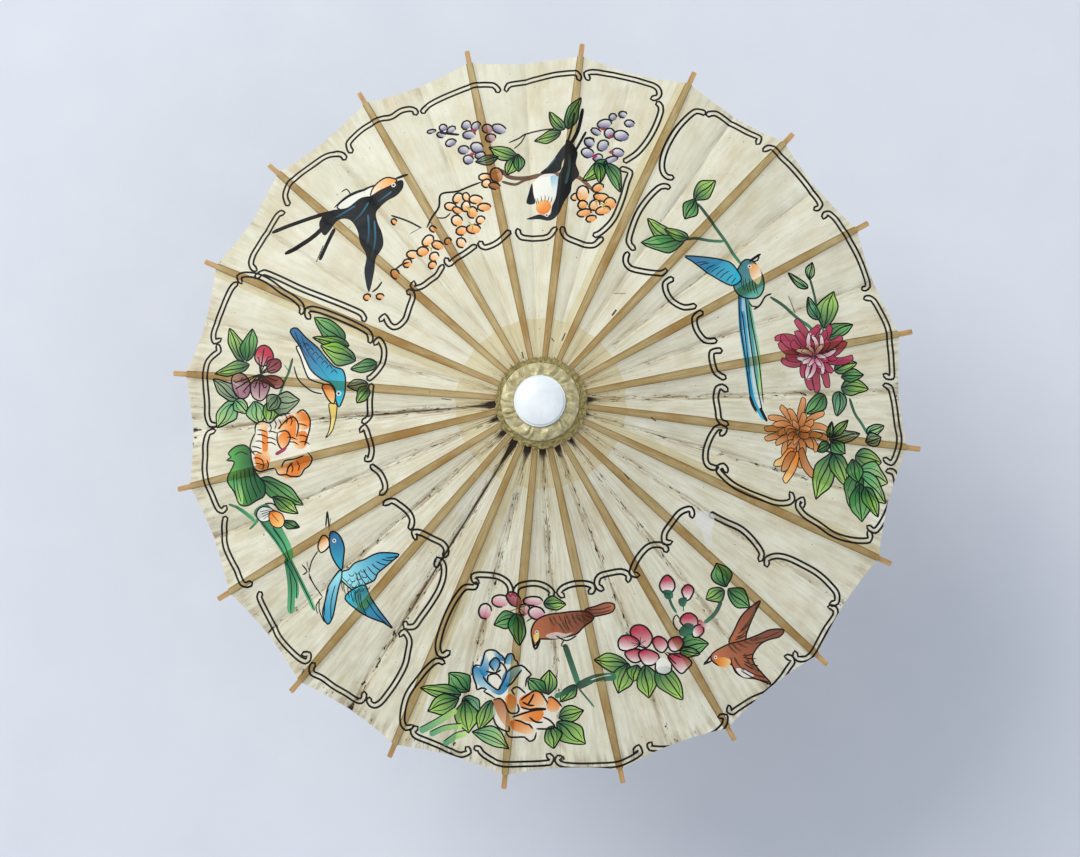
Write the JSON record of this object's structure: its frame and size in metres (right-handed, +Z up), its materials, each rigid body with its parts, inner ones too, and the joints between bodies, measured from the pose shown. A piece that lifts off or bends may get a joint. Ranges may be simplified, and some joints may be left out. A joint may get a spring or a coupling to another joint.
{
  "type": "oil paper umbrella",
  "caption": "Open oil paper umbrella with bamboo ribs and stretchers, a sliding runner, gathered collar, domed cap and turned handle.",
  "frame": {"origin": "on the shaft's axis at the middle of the handle's grip", "axes": "+Z up the shaft towards the cap; +X and +Y span the open canopy, with rib 1 at 12 degrees from +X towards +Y"},
  "size_m": [0.4484, 0.4484, 0.3302],
  "materials": {
    "oiled_paper": "oiled, printed and painted",
    "bamboo": "split and planed",
    "turned_wood": "varnished",
    "lacquered_wood": "lacquered",
    "hub_wood": "turned",
    "gold_paper": "foiled and gathered",
    "cap_plastic": "moulded",
    "steel_wire": "drawn"
  },
  "bodies": {
    "root": {"shaft": "turned_wood", "handle": "lacquered_wood", "top_notch": "hub_wood", "notch_wire": "steel_wire", "tip_cap": "cap_plastic", "gold_collar": "gold_paper", "stop_peg": "bamboo"},
    "runner": {"runner": "hub_wood", "runner_wire": "steel_wire"},
    "catch": {"catch_spring": "steel_wire"},
    "rib_01": {"rib_01": "bamboo", "paper_panel_01": "oiled_paper"},
    "stretcher_01": {"stretcher_01": "bamboo"},
    "rib_02": {"rib_02": "bamboo"},
    "stretcher_02": {"stretcher_02": "bamboo"},
    "rib_03": {"rib_03": "bamboo", "paper_panel_03": "oiled_paper"},
    "stretcher_03": {"stretcher_03": "bamboo"},
    "rib_04": {"rib_04": "bamboo"},
    "stretcher_04": {"stretcher_04": "bamboo"},
    "rib_05": {"rib_05": "bamboo", "paper_panel_05": "oiled_paper"},
    "stretcher_05": {"stretcher_05": "bamboo"},
    "rib_06": {"rib_06": "bamboo"},
    "stretcher_06": {"stretcher_06": "bamboo"},
    "rib_07": {"rib_07": "bamboo", "paper_panel_07": "oiled_paper"},
    "stretcher_07": {"stretcher_07": "bamboo"},
    "rib_08": {"rib_08": "bamboo"},
    "stretcher_08": {"stretcher_08": "bamboo"},
    "rib_09": {"rib_09": "bamboo", "paper_panel_09": "oiled_paper"},
    "stretcher_09": {"stretcher_09": "bamboo"},
    "rib_10": {"rib_10": "bamboo"},
    "stretcher_10": {"stretcher_10": "bamboo"},
    "rib_11": {"rib_11": "bamboo", "paper_panel_11": "oiled_paper"},
    "stretcher_11": {"stretcher_11": "bamboo"},
    "rib_12": {"rib_12": "bamboo"},
    "stretcher_12": {"stretcher_12": "bamboo"},
    "rib_13": {"rib_13": "bamboo", "paper_panel_13": "oiled_paper"},
    "stretcher_13": {"stretcher_13": "bamboo"},
    "rib_14": {"rib_14": "bamboo"},
    "stretcher_14": {"stretcher_14": "bamboo"},
    "rib_15": {"rib_15": "bamboo", "paper_panel_15": "oiled_paper"},
    "stretcher_15": {"stretcher_15": "bamboo"},
    "rib_16": {"rib_16": "bamboo"},
    "stretcher_16": {"stretcher_16": "bamboo"},
    "rib_17": {"rib_17": "bamboo", "paper_panel_17": "oiled_paper"},
    "stretcher_17": {"stretcher_17": "bamboo"},
    "rib_18": {"rib_18": "bamboo"},
    "stretcher_18": {"stretcher_18": "bamboo"},
    "rib_19": {"rib_19": "bamboo", "paper_panel_19": "oiled_paper"},
    "stretcher_19": {"stretcher_19": "bamboo"},
    "rib_20": {"rib_20": "bamboo"},
    "stretcher_20": {"stretcher_20": "bamboo"}
  },
  "joints": [
    {"name": "rib_01_fold", "type": "hinge", "parent": "root", "child": "rib_01", "pos_m": [0.01174, 0.00249, 0.27543], "axis": [-0.2079, 0.9781, 0], "range_deg": [0, 66], "deforming": ["paper_panel_01", "paper_panel_03", "paper_panel_05", "paper_panel_07", "paper_panel_09", "paper_panel_11", "paper_panel_13", "paper_panel_15", "paper_panel_17", "paper_panel_19", "gold_collar", "catch_spring"]},
    {"name": "stretcher_01_fold", "type": "hinge", "parent": "rib_01", "child": "stretcher_01", "pos_m": [0.09636, 0.02048, 0.25062], "axis": [-0.2079, 0.9781, 0], "range_deg": [-132, 0]},
    {"name": "runner_slide_link", "type": "hinge", "parent": "stretcher_01", "child": "runner", "pos_m": [0.01174, 0.00249, 0.22581], "axis": [-0.2079, 0.9781, 0], "range_deg": [0, 66]},
    {"name": "rib_02_fold", "type": "hinge", "parent": "root", "child": "rib_02", "pos_m": [0.01039, 0.006, 0.27543], "axis": [-0.5, 0.866, 0], "range_deg": [0, 66]},
    {"name": "stretcher_02_fold", "type": "hinge", "parent": "rib_02", "child": "stretcher_02", "pos_m": [0.08532, 0.04926, 0.25062], "axis": [-0.5, 0.866, 0], "range_deg": [-132, 0]},
    {"name": "rib_03_fold", "type": "hinge", "parent": "root", "child": "rib_03", "pos_m": [0.00803, 0.00892, 0.27543], "axis": [-0.7431, 0.6691, 0], "range_deg": [0, 66]},
    {"name": "stretcher_03_fold", "type": "hinge", "parent": "rib_03", "child": "stretcher_03", "pos_m": [0.06592, 0.07321, 0.25062], "axis": [-0.7431, 0.6691, 0], "range_deg": [-132, 0]},
    {"name": "rib_04_fold", "type": "hinge", "parent": "root", "child": "rib_04", "pos_m": [0.00488, 0.01096, 0.27543], "axis": [-0.9135, 0.4067, 0], "range_deg": [0, 66]},
    {"name": "stretcher_04_fold", "type": "hinge", "parent": "rib_04", "child": "stretcher_04", "pos_m": [0.04007, 0.09, 0.25062], "axis": [-0.9135, 0.4067, 0], "range_deg": [-132, 0]},
    {"name": "rib_05_fold", "type": "hinge", "parent": "root", "child": "rib_05", "pos_m": [0.00125, 0.01193, 0.27543], "axis": [-0.9945, 0.1045, 0], "range_deg": [0, 66]},
    {"name": "stretcher_05_fold", "type": "hinge", "parent": "rib_05", "child": "stretcher_05", "pos_m": [0.0103, 0.09797, 0.25062], "axis": [-0.9945, 0.1045, 0], "range_deg": [-132, 0]},
    {"name": "rib_06_fold", "type": "hinge", "parent": "root", "child": "rib_06", "pos_m": [-0.00249, 0.01174, 0.27543], "axis": [-0.9781, -0.2079, 0], "range_deg": [0, 66]},
    {"name": "stretcher_06_fold", "type": "hinge", "parent": "rib_06", "child": "stretcher_06", "pos_m": [-0.02048, 0.09636, 0.25062], "axis": [-0.9781, -0.2079, 0], "range_deg": [-132, 0]},
    {"name": "rib_07_fold", "type": "hinge", "parent": "root", "child": "rib_07", "pos_m": [-0.006, 0.01039, 0.27543], "axis": [-0.866, -0.5, 0], "range_deg": [0, 66]},
    {"name": "stretcher_07_fold", "type": "hinge", "parent": "rib_07", "child": "stretcher_07", "pos_m": [-0.04926, 0.08532, 0.25062], "axis": [-0.866, -0.5, 0], "range_deg": [-132, 0]},
    {"name": "rib_08_fold", "type": "hinge", "parent": "root", "child": "rib_08", "pos_m": [-0.00892, 0.00803, 0.27543], "axis": [-0.6691, -0.7431, 0], "range_deg": [0, 66]},
    {"name": "stretcher_08_fold", "type": "hinge", "parent": "rib_08", "child": "stretcher_08", "pos_m": [-0.07321, 0.06592, 0.25062], "axis": [-0.6691, -0.7431, 0], "range_deg": [-132, 0]},
    {"name": "rib_09_fold", "type": "hinge", "parent": "root", "child": "rib_09", "pos_m": [-0.01096, 0.00488, 0.27543], "axis": [-0.4067, -0.9135, 0], "range_deg": [0, 66]},
    {"name": "stretcher_09_fold", "type": "hinge", "parent": "rib_09", "child": "stretcher_09", "pos_m": [-0.09, 0.04007, 0.25062], "axis": [-0.4067, -0.9135, 0], "range_deg": [-132, 0]},
    {"name": "rib_10_fold", "type": "hinge", "parent": "root", "child": "rib_10", "pos_m": [-0.01193, 0.00125, 0.27543], "axis": [-0.1045, -0.9945, 0], "range_deg": [0, 66]},
    {"name": "stretcher_10_fold", "type": "hinge", "parent": "rib_10", "child": "stretcher_10", "pos_m": [-0.09797, 0.0103, 0.25062], "axis": [-0.1045, -0.9945, 0], "range_deg": [-132, 0]},
    {"name": "rib_11_fold", "type": "hinge", "parent": "root", "child": "rib_11", "pos_m": [-0.01174, -0.00249, 0.27543], "axis": [0.2079, -0.9781, 0], "range_deg": [0, 66]},
    {"name": "stretcher_11_fold", "type": "hinge", "parent": "rib_11", "child": "stretcher_11", "pos_m": [-0.09636, -0.02048, 0.25062], "axis": [0.2079, -0.9781, 0], "range_deg": [-132, 0]},
    {"name": "rib_12_fold", "type": "hinge", "parent": "root", "child": "rib_12", "pos_m": [-0.01039, -0.006, 0.27543], "axis": [0.5, -0.866, 0], "range_deg": [0, 66]},
    {"name": "stretcher_12_fold", "type": "hinge", "parent": "rib_12", "child": "stretcher_12", "pos_m": [-0.08532, -0.04926, 0.25062], "axis": [0.5, -0.866, 0], "range_deg": [-132, 0]},
    {"name": "rib_13_fold", "type": "hinge", "parent": "root", "child": "rib_13", "pos_m": [-0.00803, -0.00892, 0.27543], "axis": [0.7431, -0.6691, 0], "range_deg": [0, 66]},
    {"name": "stretcher_13_fold", "type": "hinge", "parent": "rib_13", "child": "stretcher_13", "pos_m": [-0.06592, -0.07321, 0.25062], "axis": [0.7431, -0.6691, 0], "range_deg": [-132, 0]},
    {"name": "rib_14_fold", "type": "hinge", "parent": "root", "child": "rib_14", "pos_m": [-0.00488, -0.01096, 0.27543], "axis": [0.9135, -0.4067, 0], "range_deg": [0, 66]},
    {"name": "stretcher_14_fold", "type": "hinge", "parent": "rib_14", "child": "stretcher_14", "pos_m": [-0.04007, -0.09, 0.25062], "axis": [0.9135, -0.4067, 0], "range_deg": [-132, 0]},
    {"name": "rib_15_fold", "type": "hinge", "parent": "root", "child": "rib_15", "pos_m": [-0.00125, -0.01193, 0.27543], "axis": [0.9945, -0.1045, 0], "range_deg": [0, 66]},
    {"name": "stretcher_15_fold", "type": "hinge", "parent": "rib_15", "child": "stretcher_15", "pos_m": [-0.0103, -0.09797, 0.25062], "axis": [0.9945, -0.1045, 0], "range_deg": [-132, 0]},
    {"name": "rib_16_fold", "type": "hinge", "parent": "root", "child": "rib_16", "pos_m": [0.00249, -0.01174, 0.27543], "axis": [0.9781, 0.2079, 0], "range_deg": [0, 66]},
    {"name": "stretcher_16_fold", "type": "hinge", "parent": "rib_16", "child": "stretcher_16", "pos_m": [0.02048, -0.09636, 0.25062], "axis": [0.9781, 0.2079, 0], "range_deg": [-132, 0]},
    {"name": "rib_17_fold", "type": "hinge", "parent": "root", "child": "rib_17", "pos_m": [0.006, -0.01039, 0.27543], "axis": [0.866, 0.5, 0], "range_deg": [0, 66]},
    {"name": "stretcher_17_fold", "type": "hinge", "parent": "rib_17", "child": "stretcher_17", "pos_m": [0.04926, -0.08532, 0.25062], "axis": [0.866, 0.5, 0], "range_deg": [-132, 0]},
    {"name": "rib_18_fold", "type": "hinge", "parent": "root", "child": "rib_18", "pos_m": [0.00892, -0.00803, 0.27543], "axis": [0.6691, 0.7431, 0], "range_deg": [0, 66]},
    {"name": "stretcher_18_fold", "type": "hinge", "parent": "rib_18", "child": "stretcher_18", "pos_m": [0.07321, -0.06592, 0.25062], "axis": [0.6691, 0.7431, 0], "range_deg": [-132, 0]},
    {"name": "rib_19_fold", "type": "hinge", "parent": "root", "child": "rib_19", "pos_m": [0.01096, -0.00488, 0.27543], "axis": [0.4067, 0.9135, 0], "range_deg": [0, 66]},
    {"name": "stretcher_19_fold", "type": "hinge", "parent": "rib_19", "child": "stretcher_19", "pos_m": [0.09, -0.04007, 0.25062], "axis": [0.4067, 0.9135, 0], "range_deg": [-132, 0]},
    {"name": "rib_20_fold", "type": "hinge", "parent": "root", "child": "rib_20", "pos_m": [0.01193, -0.00125, 0.27543], "axis": [0.1045, 0.9945, 0], "range_deg": [0, 66]},
    {"name": "stretcher_20_fold", "type": "hinge", "parent": "rib_20", "child": "stretcher_20", "pos_m": [0.09797, -0.0103, 0.25062], "axis": [0.1045, 0.9945, 0], "range_deg": [-132, 0]},
    {"name": "catch_press", "type": "hinge", "parent": "root", "child": "catch", "pos_m": [0.00149, 0.00057, 0.16901], "axis": [0.3584, -0.9336, 0], "range_deg": [0, 8], "stiffness_Nm_per_rad": 0.05}
  ],
  "couplings": [
    {"joint": "stretcher_01_fold", "follows": "rib_01_fold", "ratio": -2},
    {"joint": "runner_slide_link", "follows": "rib_01_fold", "ratio": 1},
    {"joint": "rib_02_fold", "follows": "rib_01_fold", "ratio": 1},
    {"joint": "stretcher_02_fold", "follows": "rib_01_fold", "ratio": -2},
    {"joint": "rib_03_fold", "follows": "rib_01_fold", "ratio": 1},
    {"joint": "stretcher_03_fold", "follows": "rib_01_fold", "ratio": -2},
    {"joint": "rib_04_fold", "follows": "rib_01_fold", "ratio": 1},
    {"joint": "stretcher_04_fold", "follows": "rib_01_fold", "ratio": -2},
    {"joint": "rib_05_fold", "follows": "rib_01_fold", "ratio": 1},
    {"joint": "stretcher_05_fold", "follows": "rib_01_fold", "ratio": -2},
    {"joint": "rib_06_fold", "follows": "rib_01_fold", "ratio": 1},
    {"joint": "stretcher_06_fold", "follows": "rib_01_fold", "ratio": -2},
    {"joint": "rib_07_fold", "follows": "rib_01_fold", "ratio": 1},
    {"joint": "stretcher_07_fold", "follows": "rib_01_fold", "ratio": -2},
    {"joint": "rib_08_fold", "follows": "rib_01_fold", "ratio": 1},
    {"joint": "stretcher_08_fold", "follows": "rib_01_fold", "ratio": -2},
    {"joint": "rib_09_fold", "follows": "rib_01_fold", "ratio": 1},
    {"joint": "stretcher_09_fold", "follows": "rib_01_fold", "ratio": -2},
    {"joint": "rib_10_fold", "follows": "rib_01_fold", "ratio": 1},
    {"joint": "stretcher_10_fold", "follows": "rib_01_fold", "ratio": -2},
    {"joint": "rib_11_fold", "follows": "rib_01_fold", "ratio": 1},
    {"joint": "stretcher_11_fold", "follows": "rib_01_fold", "ratio": -2},
    {"joint": "rib_12_fold", "follows": "rib_01_fold", "ratio": 1},
    {"joint": "stretcher_12_fold", "follows": "rib_01_fold", "ratio": -2},
    {"joint": "rib_13_fold", "follows": "rib_01_fold", "ratio": 1},
    {"joint": "stretcher_13_fold", "follows": "rib_01_fold", "ratio": -2},
    {"joint": "rib_14_fold", "follows": "rib_01_fold", "ratio": 1},
    {"joint": "stretcher_14_fold", "follows": "rib_01_fold", "ratio": -2},
    {"joint": "rib_15_fold", "follows": "rib_01_fold", "ratio": 1},
    {"joint": "stretcher_15_fold", "follows": "rib_01_fold", "ratio": -2},
    {"joint": "rib_16_fold", "follows": "rib_01_fold", "ratio": 1},
    {"joint": "stretcher_16_fold", "follows": "rib_01_fold", "ratio": -2},
    {"joint": "rib_17_fold", "follows": "rib_01_fold", "ratio": 1},
    {"joint": "stretcher_17_fold", "follows": "rib_01_fold", "ratio": -2},
    {"joint": "rib_18_fold", "follows": "rib_01_fold", "ratio": 1},
    {"joint": "stretcher_18_fold", "follows": "rib_01_fold", "ratio": -2},
    {"joint": "rib_19_fold", "follows": "rib_01_fold", "ratio": 1},
    {"joint": "stretcher_19_fold", "follows": "rib_01_fold", "ratio": -2},
    {"joint": "rib_20_fold", "follows": "rib_01_fold", "ratio": 1},
    {"joint": "stretcher_20_fold", "follows": "rib_01_fold", "ratio": -2}
  ]
}
